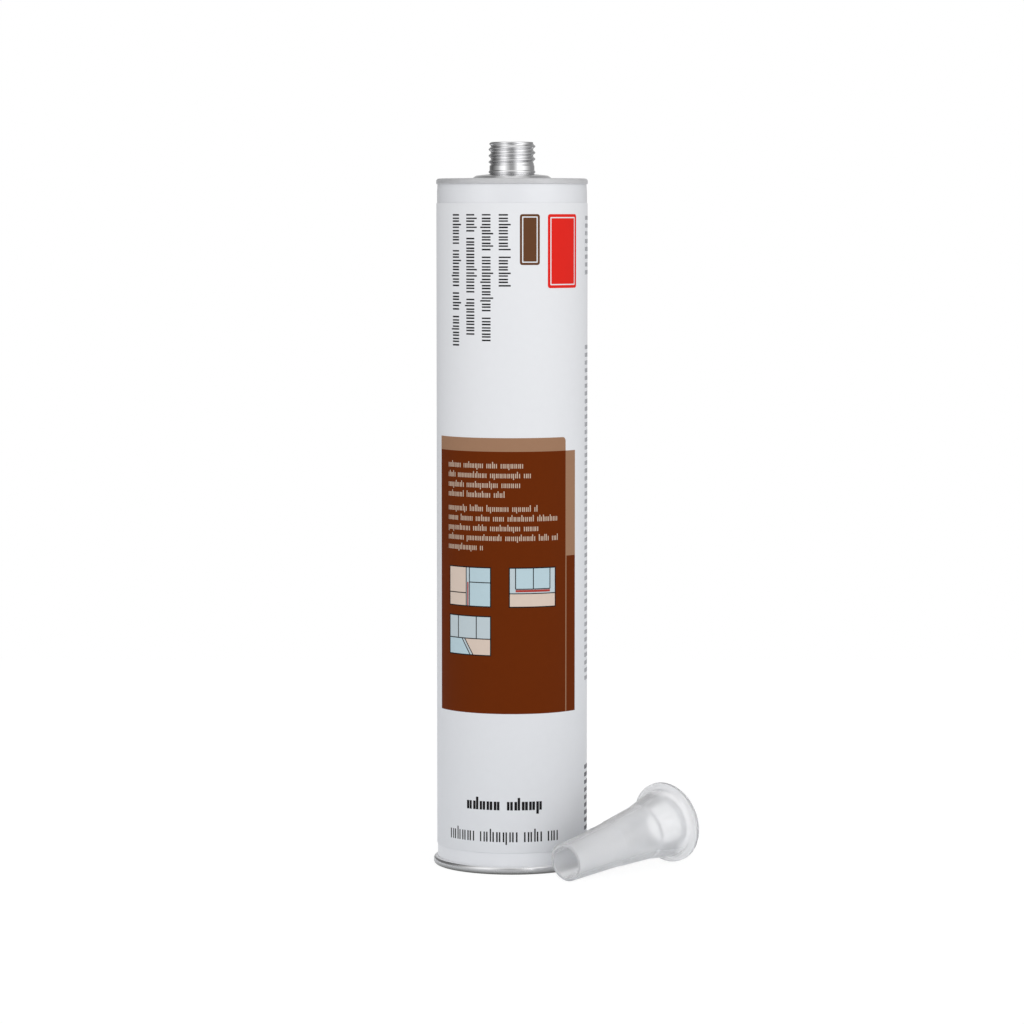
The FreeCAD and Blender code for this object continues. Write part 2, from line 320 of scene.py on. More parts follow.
# %% [markdown]
# Milky plastic, plunger plastic and filling
# The nozzle is natural polyethylene: a thin wall that lets light through but shows no clear
# shape behind it. Light scattered under the surface would look milky too, but would hide the
# inside. Rough transmission mixed with some diffuse white shows it dimly, and a thin coat
# stands for the moulded gloss. The plunger is the same plastic with white pigment, and the
# filling is a dense brown-beige paste.


# %% Plastics and filling
def natural_work(board):
    cloud = board.noise(board.place(), 160, 3.0)
    tone = board.mix(cloud, colour(247, 248, 250), colour(252, 252, 253))
    return {"Base Color": tone, "Roughness": 0.14 + cloud * 0.08}


natural_plastic = finish_of("natural_plastic", natural_work, Transmission_Weight=0.70, IOR=1.45,
                            Coat_Weight=0.6, Coat_Roughness=0.08)


def plunger_work(board):
    cloud = board.noise(board.place(), 120, 3.0)
    grain = board.noise(board.place(), 2400, 3.0)
    tone = board.mix(cloud, colour(222, 223, 222), colour(232, 233, 231))
    return {"Base Color": tone, "Normal": board.bump(grain, 0.006 * mm, 0.5)}


plunger_plastic = finish_of("plunger_plastic", plunger_work, Roughness=0.42)


def filling_work(board):
    cloud = board.noise(board.place(), 70, 4.0)
    streaks = board.noise(board.place(), 500, 4.0)
    tone = board.mix(cloud, colour(168, 140, 116), colour(182, 154, 128))
    return {"Base Color": tone, "Normal": board.bump(streaks, 0.05 * mm, 0.5)}


filling = finish_of("filling", filling_work, Roughness=0.55)

# %% [markdown]
# Outlines for turned parts
# Nearly everything here is round, so a part is an outline of radius and height that is turned
# about the axis. The outline is typed as corners with the radius of the rounding at each, in
# millimetres, and this helper puts the arcs in.

# %% Rounded outlines
arc_step = math.radians(10)


def rounded(corners):
    """Points of a closed outline through (radius, height, fillet) corners."""
    outline = []
    for i, (r, z, fillet) in enumerate(corners):
        here = Vector((r, z))
        behind = (Vector(corners[i - 1][:2]) - here).normalized()
        ahead = (Vector(corners[(i + 1) % len(corners)][:2]) - here).normalized()
        turn = math.pi - behind.angle(ahead)
        if fillet == 0 or turn < 0.01:
            outline.append(here)
            continue
        half = (math.pi - turn) / 2
        centre = here + (behind + ahead).normalized() * (fillet / math.sin(half))
        first = here + behind * (fillet / math.tan(half)) - centre
        last = here + ahead * (fillet / math.tan(half)) - centre
        count = max(2, math.ceil(turn / arc_step))
        for step in range(count + 1):
            share = step / count
            weight_first = math.sin((1 - share) * turn) / math.sin(turn)
            weight_last = math.sin(share * turn) / math.sin(turn)
            outline.append(centre + first * weight_first + last * weight_last)
    return [(point.x, point.y) for point in outline]


def sheet_side(path, offset):
    """Corners of one side of a bent sheet, offset to the left of its middle line."""
    points = [Vector(corner[:2]) for corner in path]
    runs = [(end - start).normalized() for start, end in zip(points, points[1:])]
    lefts = [Vector((-run.y, run.x)) for run in runs]
    side = [(*(points[0] + lefts[0] * offset), 0)]
    for i in range(1, len(path) - 1):
        mitre = (lefts[i - 1] + lefts[i]) * (offset / (1 + lefts[i - 1].dot(lefts[i])))
        bend = path[i][2] - offset if runs[i].dot(lefts[i - 1]) > 0 else path[i][2] + offset
        side.append((*(points[i] + mitre), bend))
    side.append((*(points[-1] + lefts[-1] * offset), 0))
    return side


def sheet(path, thickness):
    """Closed outline of a bent sheet; path is the (radius, height, bend) corners of its middle."""
    return rounded(sheet_side(path, thickness / 2) + sheet_side(path, -thickness / 2)[::-1])


soft_square = rounded([(0, 0, 1), (9, 0, 1), (9, 9, 1), (0, 9, 1)])
print("points of a square with rounded corners:", len(soft_square))


# %% [markdown]
# Turning an outline
# A mesh is a list of points and a list of faces between them. One ring of points is made for
# each point of the outline, and neighbouring rings are joined by four-sided faces. A function
# may push single points in or out, which is how the thread is cut later.


# %% Turned meshes
def make_mesh(name, points, faces, materials, sharp_angle=35):
    """A smooth mesh object from points in millimetres, with creases where faces meet sharply."""
    mesh = bpy.data.meshes.new(name)
    mesh.from_pydata([Vector(point) * mm for point in points], [], faces)
    work = bmesh.new()
    work.from_mesh(mesh)
    bmesh.ops.remove_doubles(work, verts=work.verts, dist=1e-8)
    bmesh.ops.recalc_face_normals(work, faces=work.faces)
    work.to_mesh(mesh)
    work.free()
    mesh.shade_smooth()
    mesh.set_sharp_from_angle(angle=math.radians(sharp_angle))
    for material in materials:
        mesh.materials.append(material)
    piece = bpy.data.objects.new(name, mesh)
    bpy.context.scene.collection.objects.link(piece)
    return piece


def turn(name, outline, materials, slices=240, push=None):
    """Turns a closed outline of (radius, height) round +Z.

    push(angle, radius, height), where it is given, says how far a point moves outwards.
    """
    points = []
    for r, z in outline:
        for i in range(slices):
            angle = i * math.tau / slices
            radius = r + (push(angle, r, z) if push else 0)
            points.append((radius * math.cos(angle), radius * math.sin(angle), z))
    faces = []
    rings = len(outline)
    for ring in range(rings):
        above = (ring + 1) % rings
        if outline[ring][0] == 0 and outline[above][0] == 0:
            continue
        for i in range(slices):
            beside = (i + 1) % slices
            faces.append((ring * slices + i, ring * slices + beside,
                          above * slices + beside, above * slices + i))
    return make_mesh(name, points, faces, materials)


def dress(piece, node, body):
    """The piece stands for a node of the frame, whose solid is hidden, and moves with a body."""
    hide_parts(node)
    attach(piece, body)
    print(piece.name, "faces:", len(piece.data.polygons))
    return piece


# %% [markdown]
# The tube
# The tube is one thin wall of drawn aluminium. Its open tail is rolled outwards into a curl,
# and its top is rolled in a little below the seam. A single skin could be thickened by a
# modifier, but an outline that goes down one side of the sheet and back up the other has its
# inside and the lip of its curl from the start. The faces of the curl and of the bore are bare
# metal, and the rest is lacquered.

# %% Tube
neck_and_dome = 11.3
cartridge_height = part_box("threaded_end")[1].z / mm - neck_and_dome
tube_r = 23.3
tube_wall = 0.4
curl_margin = 0.34
curl_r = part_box("cartridge_tube")[1].x / mm - curl_margin
curl_height = 2.45
curl_bend = 0.75
lacquer_foot = 2.3
bead_foot = cartridge_height - 1.8
groove_depth = 0.15
groove_foot = bead_foot - 2.2
wall_middle = tube_r - tube_wall / 2

tube_path = [
    (wall_middle - groove_depth, cartridge_height - 0.45, 0),
    (wall_middle - groove_depth, bead_foot - groove_depth, 1.5),
    (wall_middle, groove_foot, 1.5),
    (wall_middle, lacquer_foot, 0),
    (wall_middle, tube_wall / 2, 0.45),
    (curl_r - tube_wall / 2, tube_wall / 2, curl_bend),
    (curl_r - tube_wall / 2, curl_height - tube_wall / 2, curl_bend),
    (tube_r + 0.03, curl_height - tube_wall / 2, 0),
]


def bare_below(piece, height, bore):
    """Gives the faces under a height, or inside a radius, the piece's second material."""
    bare = 0
    for face in piece.data.polygons:
        place = face.center / mm
        radius = math.hypot(place.x, place.y)
        if place.z < height or radius < bore:
            face.material_index = 1
            bare += 1
    print(piece.name, "bare faces:", bare)


tube = turn("drawn_tube", sheet(tube_path, tube_wall), [lacquer, aluminium])
bare_below(tube, lacquer_foot, tube_r - tube_wall / 2 - groove_depth)
dress(tube, "cartridge_tube", "cartridge")

# %% [markdown]
# The threaded end
# One disc of aluminium is pressed into a sunk panel with a low dome and a neck, and its rim is
# rolled over the tube as a bead. A real thread on so thin a neck is rolled: its crests are
# round, and it runs out softly at both ends. A Screw modifier would end the thread in a step.
# So the outline gets close-set points along the neck, and each point is pushed out by how near
# it is to the helix.

# %% Threaded end
panel_top = cartridge_height - 1.2
dome_top = panel_top + 2.6
shoulder_r = 11.2
shoulder_top = dome_top - 0.5
collar_foot = dome_top + 0.3
collar_top = collar_foot + 0.65
plain_top = dome_top + 2.7
mouth_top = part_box("threaded_end")[1].z / mm
bead_margin = 0.2
bead_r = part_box("threaded_end")[1].x / mm - bead_margin
neck_r = 6.98
collar_r = 7.26
neck_bore = 5.4
root_r = 6.6
crest_r = 7.28
pitch = 1.95
membrane_top = mouth_top - 1.2
end_sheet = 0.4
chuck_outer = tube_r - tube_wall - groove_depth - 0.05
chuck_inner = chuck_outer - end_sheet
thread_rows = 84
first_turn = 218.5
thread_fade = 0.7
thread_roundness = 1.25

end_corners = [
    (0, membrane_top, 0),
    (neck_bore, membrane_top, 0.15),
    (neck_bore, mouth_top, 0.2),
    (root_r - 0.05, mouth_top, 0.3),
    (root_r, mouth_top - 0.45, 0.25),
    (root_r, plain_top + 0.2, 0.2),
    (neck_r, plain_top - 0.15, 0.2),
    (neck_r, collar_top + 0.15, 0.2),
    (collar_r, collar_top - 0.15, 0.15),
    (collar_r, collar_foot + 0.1, 0.15),
    (neck_r - 0.05, collar_foot - 0.1, 0.1),
    (neck_r - 0.05, dome_top, 0.12),
    (shoulder_r, shoulder_top, 1.4),
    (14.2, panel_top, 0.6),
    (chuck_inner, panel_top, 0.35),
    (chuck_inner, cartridge_height, 0.3),
    (bead_r, cartridge_height, 0.85),
    (bead_r, bead_foot, 0.35),
    (tube_r - 0.05, bead_foot, 0),
    (tube_r - 0.05, cartridge_height - end_sheet, 0),
    (chuck_outer, cartridge_height - end_sheet, 0),
    (chuck_outer, panel_top - end_sheet, 0.4),
    (14.2, panel_top - end_sheet, 0.4),
    (shoulder_r - 0.15, shoulder_top - end_sheet, 1.0),
    (neck_bore, dome_top - end_sheet, 0.4),
    (neck_bore, membrane_top - 0.2, 0),
    (0, membrane_top - 0.2, 0),
]


def with_thread_rows(outline):
    """Puts close-set points where the outline runs straight down the neck's root."""
    dense = []
    for here, ahead in zip(outline, outline[1:] + outline[:1]):
        dense.append(here)
        drop = here[1] - ahead[1]
        if drop > 3 and abs(here[0] - root_r) < 0.01 and abs(ahead[0] - root_r) < 0.01:
            for i in range(1, thread_rows):
                dense.append((root_r, here[1] - drop * i / thread_rows))
    return dense


def ridge(angle, radius, height):
    """How far the thread stands out at a place on the neck: round crests between round roots."""
    if radius < root_r - 0.3 or radius > neck_r or height < plain_top - 0.1:
        return 0
    along = (height - first_turn) / pitch - angle / math.tau
    wave = 0.5 + 0.5 * math.cos(math.tau * along)
    run_in = (height - plain_top) / thread_fade
    run_out = (mouth_top - height) / thread_fade
    fade = max(0.0, min(1.0, run_in, run_out))
    return (crest_r - radius) * wave ** thread_roundness * fade


end_outline = with_thread_rows(rounded(end_corners))
end = turn("threaded_neck_end", end_outline, [aluminium], slices=216, push=ridge)
dress(end, "threaded_end", "cartridge")

# %% [markdown]
# The wrap label
# The label is a rectangle of film that is rolled round the tube, so one edge lies over the
# other by a few millimetres at the back. A plain ring would look the same from the front, but
# not from behind. So it is made as a strip with a thickness: the radius stays the same all the
# way round and climbs by one thickness just before the overlap.

# %% Wrap label
label_low, label_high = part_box("wrap_label")
label_r = label_high.x / mm
label_foot = label_low.z / mm
label_top = label_high.z / mm
film = 0.15
overlap = 7.0
ramp = 1.2
label_columns = 300


def label_radius(run):
    """Outer radius of the film at a distance round it from its hidden edge."""
    climb = (run - math.tau * label_r) / ramp + 1
    return label_r + (film - 0.03) * max(0.0, min(1.0, climb))


def label_point(run, inset, height):
    angle = math.radians(90) + run / label_r
    radius = label_radius(run) - inset
    return (radius * math.cos(angle), radius * math.sin(angle), height)


def wrap():
    """A closed strip of film, with its edges a little rounded."""
    edge = 0.03
    section = [(film, label_foot + edge), (edge, label_foot + edge / 2), (0, label_foot + edge * 2),
               (0, label_top - edge * 2), (edge, label_top - edge / 2), (film, label_top - edge)]
    length = math.tau * label_r + overlap
    runs = [length * i / label_columns for i in range(label_columns + 1)]
    points = [label_point(run, inset, z) for run in runs for inset, z in section]
    sides = len(section)
    faces = []
    for column in range(label_columns):
        for i in range(sides):
            beside = (i + 1) % sides
            faces.append((column * sides + i, column * sides + beside,
                          (column + 1) * sides + beside, (column + 1) * sides + i))
    faces.append(tuple(range(sides)))
    faces.append(tuple(label_columns * sides + i for i in range(sides)))
    return make_mesh("wrapped_label", points, faces, [ink["label_film"]])


dress(wrap(), "wrap_label", "cartridge")

# %% [markdown]
# Fields of print
# Ink is a layer a few microns thick. A picture on the label could hold all of it, but would
# turn soft from near by, so each patch of ink is a thin shape. The frame holds a thin field
# wherever something is printed, so its edges are measured there: each loose field of a node
# gives its left and right edge in millimetres round the label, and its foot and top. New shapes
# are drawn flat between those edges, cut into narrow strips, and then rolled round the label.

# %% Measure and roll the print
ink_layer = 0.012
strip_width = 0.6


def fields_of(node):
    """(left, right, foot, top) of each loose field in a node, in millimetres round the label."""
    work = bmesh.new()
    work.from_mesh(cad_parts[node].data)
    bmesh.ops.remove_doubles(work, verts=work.verts, dist=1e-6)
    left_over = set(work.verts)
    found = []
    while left_over:
        group = [left_over.pop()]
        for vertex in group:
            for edge in vertex.link_edges:
                other = edge.other_vert(vertex)
                if other in left_over:
                    left_over.remove(other)
                    group.append(other)
        runs = [math.atan2(v.co.x, -v.co.y) * label_r for v in group]
        heights = [v.co.z / mm for v in group]
        found.append((min(runs), max(runs), min(heights), max(heights)))
    work.free()
    return sorted(found, key=lambda field: (-field[3], field[0]))


def print_shapes(name, node, shapes, materials, layer=1):
    """Rolls flat shapes of (points, material index, extra layers) round the label as one piece."""
    work = bmesh.new()
    for points, material, extra in shapes:
        patch = bmesh.new()
        corners = [patch.verts.new((x, z, 0)) for x, z in points]
        patch.faces.new(corners)
        first = min(x for x, z in points)
        last = max(x for x, z in points)
        for i in range(1, math.ceil((last - first) / strip_width)):
            geometry = patch.verts[:] + patch.edges[:] + patch.faces[:]
            bmesh.ops.bisect_plane(patch, geom=geometry, plane_co=(first + i * strip_width, 0, 0),
                                   plane_no=(1, 0, 0))
        top = bmesh.ops.extrude_face_region(patch, geom=patch.faces[:])
        depth = (layer + extra) * ink_layer
        for vertex in top["geom"]:
            if isinstance(vertex, bmesh.types.BMVert):
                vertex.co.z = depth
        for face in patch.faces:
            face.material_index = material
        bmesh.ops.recalc_face_normals(patch, faces=patch.faces[:])
        flat = bpy.data.meshes.new("flat")
        patch.to_mesh(flat)
        patch.free()
        work.from_mesh(flat)
        bpy.data.meshes.remove(flat)
    for vertex in work.verts:
        angle = vertex.co.x / label_r
        radius = label_r + vertex.co.z
        height = vertex.co.y
        vertex.co = Vector((radius * math.sin(angle), -radius * math.cos(angle), height)) * mm
    bmesh.ops.recalc_face_normals(work, faces=work.faces[:])
    mesh = bpy.data.meshes.new(name)
    work.to_mesh(mesh)
    work.free()
    mesh.shade_smooth()
    mesh.set_sharp_from_angle(angle=math.radians(35))
    for material in materials:
        mesh.materials.append(material)
    piece = bpy.data.objects.new(name, mesh)
    bpy.context.scene.collection.objects.link(piece)
    return dress(piece, node, "cartridge")


def block(left, right, foot, top, radii=(0, 0, 0, 0)):
    """A rectangle with four corner radii: left foot, right foot, right top, left top."""
    signs = [(1, 1), (-1, 1), (-1, -1), (1, -1)]
    places = [(left, foot), (right, foot), (right, top), (left, top)]
    points = []
    for i, ((x, z), (sx, sz), radius) in enumerate(zip(places, signs, radii)):
        if radius == 0:
            points.append((x, z))
            continue
        start = math.radians(180 + 90 * i)
        for step in range(7):
            angle = start + math.radians(15 * step)
            points.append((x + sx * radius + radius * math.cos(angle),
                           z + sz * radius + radius * math.sin(angle)))
    return points


for node in ("brown_panel", "tan_strips", "red_block"):
    print(node, [tuple(round(edge, 1) for edge in field) for field in fields_of(node)])

# %% [markdown]
# The brown panel and its strips
# The panel is flat solid colour with a lighter strip along its top and another down its right
# edge. The fields of the frame have the right edges, so they are only drawn again, and the top
# strip gets its small round corner at the end.

# %% Panel and strips
panel_shapes = [(block(*field), 0, 0) for field in fields_of("brown_panel")]
print_shapes("brown_ground", "brown_panel", panel_shapes, [ink["brown_print"]])

strip_corner = 1.2
left_part, right_part = fields_of("brown_panel")
strips_top = fields_of("tan_strips")[0][3]
top_strip = (left_part[0], left_part[1], left_part[3], strips_top)
side_strip = (left_part[1], right_part[1], right_part[3], left_part[3])
hairline = (left_part[1], right_part[0], right_part[2], right_part[3])
tan_shapes = [(block(*top_strip, (0, 0, strip_corner, 0)), 0, 0)]
tan_shapes += [(block(*side_strip), 0, 0), (block(*hairline), 0, 0)]
print_shapes("tan_edges", "tan_strips", tan_shapes, [ink["tan_print"]])

# %% [markdown]
# Lines of small print
# No words are set on this label. Each letter's place gets two plain upright bars, and the bars
# stand in groups as words do, so from a step away a line has the rhythm and the grey of small
# print. Some bars reach above or below the others. A seeded generator picks them, so every run
# draws the same.


# %% Rows of bars
letter_width = 0.8
word_gap = 0.8
word_letters = (3, 10)
long_up = 0.24
long_down = 0.1


def word_bars(field, letter, weight, reach, upright=True, seed=1):
    """Bars that fill a field, along its width or, if not upright, down its height.

    letter is the width of a letter's place, and weight a bar's share of it. reach gives, in shares
    of the field's other side, where bars stand and end, and how far the few long ones go up and
    down.
    """
    left, right, foot, top = field
    length = right - left if upright else top - foot
    size = top - foot if upright else right - left
    stand, head, up, down = reach
    dice = random.Random(seed)
    shapes = []
    place = 0.0
    in_word = dice.randint(*word_letters)
    while place + letter * letter_width < length:
        kind = dice.random()
        for bar in range(2):
            low = down if kind > 1 - long_down and bar == 0 else stand
            high = up if kind < long_up and bar == int(kind < long_up / 2) else head
            start = place + bar * letter * (letter_width - weight)
            end = start + letter * weight * dice.uniform(0.92, 1.08)
            if upright:
                points = block(left + start, left + end, foot + size * low, foot + size * high)
            else:
                points = block(left + size * low, left + size * high, top - end, top - start)
            shapes.append((points, 0, 0))
        place += letter
        in_word -= 1
        if in_word == 0:
            place += letter * word_gap
            in_word = dice.randint(*word_letters)
    return shapes


def rows_of_bars(node, letter, weight, reach, **settings):
    shapes = []
    for i, field in enumerate(fields_of(node)):
        shapes += word_bars(field, letter, weight, reach, seed=i + 1, **settings)
    return shapes


panel_bars = rows_of_bars("panel_print", 1.19, 0.25, (-0.1, 1.05, 1.55, -0.5))
top_bars = rows_of_bars("top_print", 1.9, 0.24, (-0.28, 0.9, 1.25, -0.5), upright=False)
bold_bars = rows_of_bars("bold_line", 2.3, 0.36, (0.2, 0.98, 1.35, -0.15))
thin_bars = rows_of_bars("thin_line", 2.05, 0.22, (0.1, 1.2, 1.55, -0.2))
side_bars = []
side_start = 1.9
dark_below = 35
for i, (left, right, foot, top) in enumerate(fields_of("side_print")):
    row = (left + side_start, right, foot, top)
    bars = word_bars(row, 1.1, 0.36, (-0.2, 1.2, 1.4, -0.4), seed=i)
    side_bars += [(points, int(foot < dark_below), extra) for points, paint, extra in bars]

print_shapes("panel_rows", "panel_print", panel_bars, [ink["cream_print"]], 2)
print_shapes("top_columns", "top_print", top_bars, [ink["dark_print"]])
print_shapes("bold_row", "bold_line", bold_bars, [ink["dark_print"]])
print_shapes("thin_row", "thin_line", thin_bars, [ink["dark_print"]])
side_inks = [ink["grey_print"], ink["dark_grey"]]
print_shapes("side_rows", "side_print", side_bars, side_inks)

# %% [markdown]
# The two blocks of colour
# Near the top stand a red block and a narrower brown block. Both are plain, with softly rounded
# corners and a thin white line set in from the edge, as on a trade sample card. The line is a
# white shape with a smaller coloured one on it, which keeps its width even round the corners.

# %% Blocks of colour
block_corner = 0.8
block_line = 0.35


def colour_block(name, node, colour_name, inset):
    field = fields_of(node)[0]
    left, right, foot, top = field
    corners = (block_corner,) * 4
    inner = (max(block_corner - inset, 0.2),) * 4
    core = inset + block_line
    shapes = [
        (block(*field, corners), 0, 0),
        (block(left + inset, right - inset, foot + inset, top - inset, inner), 1, 1),
        (block(left + core, right - core, foot + core, top - core, inner), 0, 2),
    ]
    return print_shapes(name, node, shapes, [ink[colour_name], ink["label_film"]])


colour_block("red_field", "red_block", "red_print", 0.9)
colour_block("brown_field", "brown_block", "block_brown", 0.7)

# %% [markdown]
# The three small pictures
# Each picture is a pale field with a dark line round it and a simple drawing that shows the
# kind of work that such a tube is for: a joint between boards, a sill, and a tiled corner. They
# are drawn here from a few plain shapes in the picture's own share of width and height.

# %% Pictures
frame_shapes = []
picture_shapes = []
palette = [ink["picture_pale"], ink["picture_blue"], ink["picture_sand"], ink["dark_print"],
           ink["picture_red"]]
pale, blue, sand, dark, red = range(5)


def stroke(start, end, width):
    """A straight line of a width, as four corners."""
    run = Vector(end) - Vector(start)
    side = Vector((-run.y, run.x)).normalized() * (width / 2)
    return [tuple(Vector(start) + side), tuple(Vector(start) - side),
            tuple(Vector(end) - side), tuple(Vector(end) + side)]


boards = [
    ([(0.0, 0.0), (0.46, 0.0), (0.46, 1.0), (0.0, 1.0)], sand, 1),
    ([(0.54, 0.0), (1.0, 0.0), (1.0, 1.0), (0.54, 1.0)], blue, 1),
    ([(0.485, 0.0), (0.515, 0.0), (0.515, 0.62), (0.485, 0.62)], red, 2),
]
board_lines = [((0.46, 0.0), (0.46, 1.0)), ((0.54, 0.0), (0.54, 1.0)), ((0.0, 0.33), (0.46, 0.33)),
               ((0.54, 0.62), (1.0, 0.62))]
sill = [
    ([(0.0, 0.0), (1.0, 0.0), (1.0, 0.34), (0.0, 0.34)], sand, 1),
    ([(0.12, 0.46), (0.88, 0.46), (0.88, 1.0), (0.12, 1.0)], blue, 1),
    ([(0.12, 0.38), (0.88, 0.38), (0.88, 0.44), (0.12, 0.44)], red, 1),
]
sill_lines = [((0.0, 0.34), (1.0, 0.34)), ((0.12, 0.46), (0.12, 1.0)), ((0.88, 0.46), (0.88, 1.0)),
              ((0.12, 0.46), (0.88, 0.46)), ((0.5, 0.46), (0.5, 1.0))]
tiles = [
    ([(0.0, 0.0), (0.55, 0.0), (0.35, 0.42), (0.0, 0.42)], blue, 1),
    ([(0.62, 0.0), (1.0, 0.0), (1.0, 0.42), (0.42, 0.42)], sand, 1),
]
tile_lines = [((0.0, 0.42), (1.0, 0.42)), ((0.55, 0.0), (0.35, 0.42)), ((0.62, 0.0), (0.42, 0.42)),
              ((0.25, 0.42), (0.25, 1.0)), ((0.7, 0.42), (0.7, 1.0))]
drawings = [(boards, board_lines), (sill, sill_lines), (tiles, tile_lines)]
line_width = 0.28
frame_line = 0.35

for field, (areas, lines) in zip(fields_of("picture_fields"), drawings):
    left, right, foot, top = field
    wide, high = right - left, top - foot
    picture_shapes.append((block(*field), pale, 0))
    for points, paint, extra in areas:
        rolled = [(left + x * wide, foot + z * high) for x, z in points]
        picture_shapes.append((rolled, paint, extra))
    for start, end in lines:
        ends = [(left + x * wide, foot + z * high) for x, z in (start, end)]
        picture_shapes.append((stroke(*ends, line_width), dark, 3))

for left, right, foot, top in fields_of("picture_frames"):
    inner_left, inner_right = left + frame_line, right - frame_line
    bars = [(left, inner_left, foot, top), (inner_right, right, foot, top),
            (inner_left, inner_right, foot, foot + frame_line),
            (inner_left, inner_right, top - frame_line, top)]
    frame_shapes += [(block(*bar), 0, 0) for bar in bars]

print_shapes("picture_drawings", "picture_fields", picture_shapes, palette, 2)
print_shapes("picture_lines", "picture_frames", frame_shapes, [ink["dark_print"]], 2)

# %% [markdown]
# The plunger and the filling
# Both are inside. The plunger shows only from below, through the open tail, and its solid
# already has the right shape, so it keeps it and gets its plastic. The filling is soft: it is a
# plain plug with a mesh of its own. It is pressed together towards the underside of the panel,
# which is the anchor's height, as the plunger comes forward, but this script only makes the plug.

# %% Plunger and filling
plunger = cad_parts["plunger"]
plunger.data.materials.clear()
plunger.data.materials.append(plunger_plastic)

filling_low, filling_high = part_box("sealant")
fill_foot = filling_low.z / mm
fill_top = filling_high.z / mm
fill_r = filling_high.x / mm
fill_end = panel_top - end_sheet - 0.15
fill_outline = rounded([
    (0, fill_foot, 0),
    (fill_r, fill_foot, 0.6),
    (fill_r, groove_foot - groove_depth, 1.0),
    (chuck_outer - 0.2, bead_foot - 1.1, 0.4),
    (chuck_outer - 0.2, fill_end, 0.4),
    (14.1, fill_end, 0.4),
    (shoulder_r - 0.25, shoulder_top - end_sheet - 0.15, 1.0),
    (neck_bore - 0.1, dome_top - end_sheet - 0.15, 0.4),
    (neck_bore - 0.1, fill_top, 0.4),
    (0, fill_top, 0),
])
sealant = turn("filling_plug", fill_outline, [filling], slices=120)
dress(sealant, "sealant", "cartridge")
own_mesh(sealant)

# %% [markdown]
# The nozzle
# The nozzle is moulded with a long taper, a small step, a waist that swells into a skirt, and a
# flange. Inside are the taper and a threaded socket, which shows through the milky wall as a
# slightly darker band. A round part is easiest to make upright. So it is turned like the rest
# and then laid down, resting on the rims of its tip and its flange, and the lean follows from
# the two radii.

# %% Nozzle
nozzle_length = 49.2
flange_thickness = 1.2
flange_face = nozzle_length - flange_thickness
tip_r = 5.935
flange_r = 12.77
step_place = 21.9
waist_place = 36.1
waist_r = 8.65
skirt_r = 11.0
skirt_wall = 1.2
groove_place = nozzle_length - 4.6
socket_r = crest_r + 0.15
sleeve_r = socket_r + 1.2
sleeve_end = nozzle_length - 1.6
socket_foot = sleeve_end - 10.2
skirt_slope = (skirt_r - waist_r) / (flange_face - waist_place)
groove_r = waist_r + (groove_place - waist_place) * skirt_slope - skirt_wall
edge = 0.3
tip_x = 16.4
tip_y = -35.8
heading = math.radians(47.9)

nozzle_corners = [
    (tip_r, 0, edge),
    (7.12, step_place - 1.0, 3.0),
    (7.45, step_place + 1.0, 3.0),
    (waist_r, waist_place, 12.0),
    (skirt_r, flange_face, 1.5),
    (flange_r, flange_face, edge),
    (flange_r, nozzle_length, edge),
    (skirt_r - skirt_wall, nozzle_length, 0.3),
    (groove_r, groove_place, 0.15),
    (sleeve_r, groove_place, 0.15),
    (sleeve_r, sleeve_end, 0.2),
    (socket_r, sleeve_end, 0.2),
    (socket_r, socket_foot, 0.2),
    (6.3, socket_foot - 0.8, 0.2),
    (tip_r - 1.0, 0, 0.2),
]
nozzle = turn("nozzle_moulding", rounded(nozzle_corners), [natural_plastic], slices=160)
lean = math.atan2(flange_r - tip_r, flange_face)
axis_height = (tip_r - edge) * math.cos(lean) + edge * (1 - math.sin(lean))
lay_down = Matrix.Rotation(math.radians(90) - lean, 4, "Y")
turn_round = Matrix.Rotation(heading, 4, "Z")
move_out = Matrix.Translation(Vector((tip_x, tip_y, axis_height)) * mm)
nozzle.data.transform(move_out @ turn_round @ lay_down)
dress(nozzle, "nozzle", "cartridge")
print("nozzle leans by", round(math.degrees(lean), 2), "degrees")

# %% [markdown]
# Floor and light
# The photograph has a pure white ground with hardly any shadow. More light would whiten the
# floor, but the label with it. So the camera sees the floor as nearly all light of its own with
# a small share of real diffuse white, which keeps a faint shadow. The world lights everything
# softly, a little more from the front and from the right.

# %% Floor
floor_reach = 0.55
floor_drop = 0.05 * mm
floor_work = bmesh.new()
bmesh.ops.create_grid(floor_work, x_segments=1, y_segments=1, size=floor_reach)
floor_mesh = bpy.data.meshes.new("floor")
floor_work.to_mesh(floor_mesh)
floor_work.free()
floor = bpy.data.objects.new("floor", floor_mesh)
floor.location = (0, 0, -floor_drop)
bpy.context.scene.collection.objects.link(floor)


def ray_kinds(board):
    """Wires that are 1 on rays from the camera, on mirrored rays and on rays through plastic."""
    outputs = board.add("ShaderNodeLightPath").socket.node.outputs
    kinds = ("Is Camera Ray", "Is Glossy Ray", "Is Transmission Ray")
    return [Wire(board, outputs[kind]) for kind in kinds]


floor_material = bpy.data.materials.new("floor_white")
board = Board(floor_material)
shadow_share = 0.10
mirrored_share = 0.35
glow = 1.04
is_camera, is_glossy, is_transmitted = ray_kinds(board)
seen = is_camera + is_transmitted + is_glossy * mirrored_share
white_light = board.add("ShaderNodeEmission", inputs={0: (1, 1, 1, 1), 1: glow})
white_paint = board.add("ShaderNodeBsdfDiffuse", inputs={0: (0.94, 0.965, 0.99, 1)})
share = seen * (1 - shadow_share)
mixed = board.add("ShaderNodeMixShader", inputs={0: share, 1: white_paint, 2: white_light})
board.add("ShaderNodeOutputMaterial", inputs={0: mixed})
floor_mesh.materials.append(floor_material)
print("floor reaches", floor_reach, "m each way")

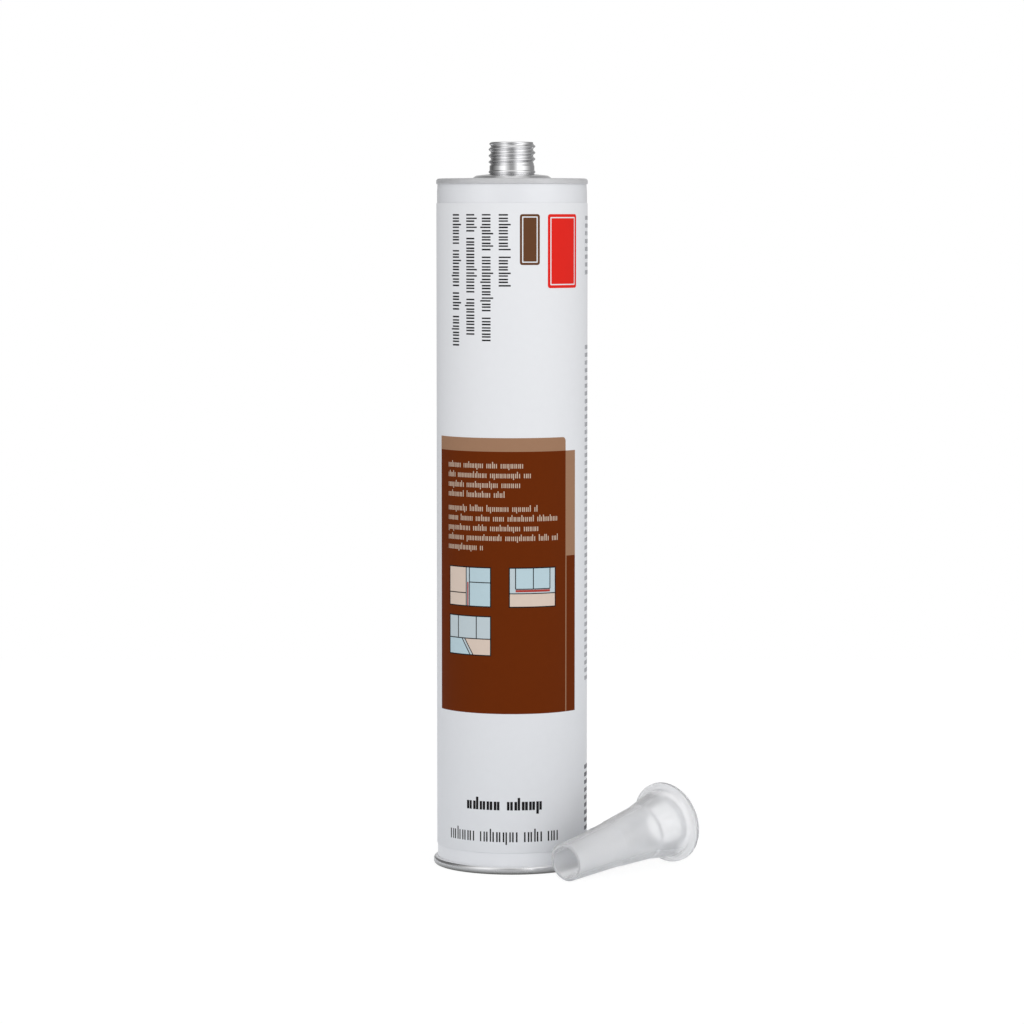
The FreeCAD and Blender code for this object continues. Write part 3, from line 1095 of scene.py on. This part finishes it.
# %% [markdown]
# The studio that metal mirrors
# Bare metal has no look of its own: it shows the room. The bright and dark bands on the neck
# tell where the panels stood: one on each side of the camera, with dark between them and beyond
# them. A ramp over the compass bearing paints those bands, for mirrored rays alone.

# %% World
bands = [(-180, 0.6), (-150, 0.2), (-118, 0.12), (-98, 0.26), (-74, 0.6), (-60, 1.2), (-40, 1.45),
         (-24, 0.8), (-8, 0.42), (8, 0.46), (22, 1.0), (34, 1.6), (58, 1.5), (76, 1.0), (92, 0.56),
         (112, 0.32), (150, 0.32), (180, 0.6)]
plain_level = 0.722
to_the_right = 0.045
to_the_front = 0.19
ceiling_starts, ceiling_full = 0.8, 0.92
ceiling_level = 0.95

world = bpy.data.worlds.new("studio")
bpy.context.scene.world = world
board = Board(world)
is_camera, is_glossy, is_transmitted = ray_kinds(board)
x, y, z = board.parts(board.add("ShaderNodeTexCoord", output="Generated"))
bearing = board.add("ShaderNodeMath", {"operation": "ARCTAN2"}, {0: x, 1: 0 - y})
stops = [((degrees + 180) / 360, level) for degrees, level in bands]
mirrored = board.add("ShaderNodeValToRGB", {"stops": stops}, {0: bearing * (1 / math.tau) + 0.5})
heights = {0: z, 1: ceiling_starts, 2: ceiling_full, 3: 0.0, 4: 1.0}
ceiling = board.add("ShaderNodeMapRange", inputs=heights)
mirrored = board.mix(ceiling, mirrored, (ceiling_level, ceiling_level, ceiling_level, 1))
level = plain_level + x * to_the_right - y * to_the_front
plain = board.vector(level, level, level * 1.01)
lit = board.mix(is_glossy, plain, mirrored)
shown = board.mix(is_camera + is_transmitted, lit, (1, 1, 1, 1))
background = board.add("ShaderNodeBackground", inputs={0: shown, 1: 1.0})
board.add("ShaderNodeOutputWorld", inputs={0: background})
print("bands in the studio:", len(bands))

# %% [markdown]
# One lamp
# The top of the tube is a little brighter than its foot, so one large soft lamp hangs high in
# front, to the right. Shiny metal already mirrors the painted studio, so the lamp is kept out
# of its reflections.

# %% Lamp
lamp_power = 1.0
lamp_width = 0.45
lamp_place = (0.12, -0.55, 0.62)
lamp_aim = (0, 0, 0.16)
lamp_data = bpy.data.lights.new("soft_lamp", "AREA")
lamp_data.shape = "DISK"
lamp_data.size = lamp_width
lamp_data.energy = lamp_power
lamp = bpy.data.objects.new("soft_lamp", lamp_data)
lamp.location = lamp_place
lamp.visible_glossy = False
aim = Vector(lamp_aim) - lamp.location
lamp.rotation_euler = aim.to_track_quat("-Z", "Y").to_euler()
bpy.context.scene.collection.objects.link(lamp)
bpy.context.scene.view_settings.view_transform = "Standard"
print("lamp at", lamp_place, "with", lamp_power, "W")
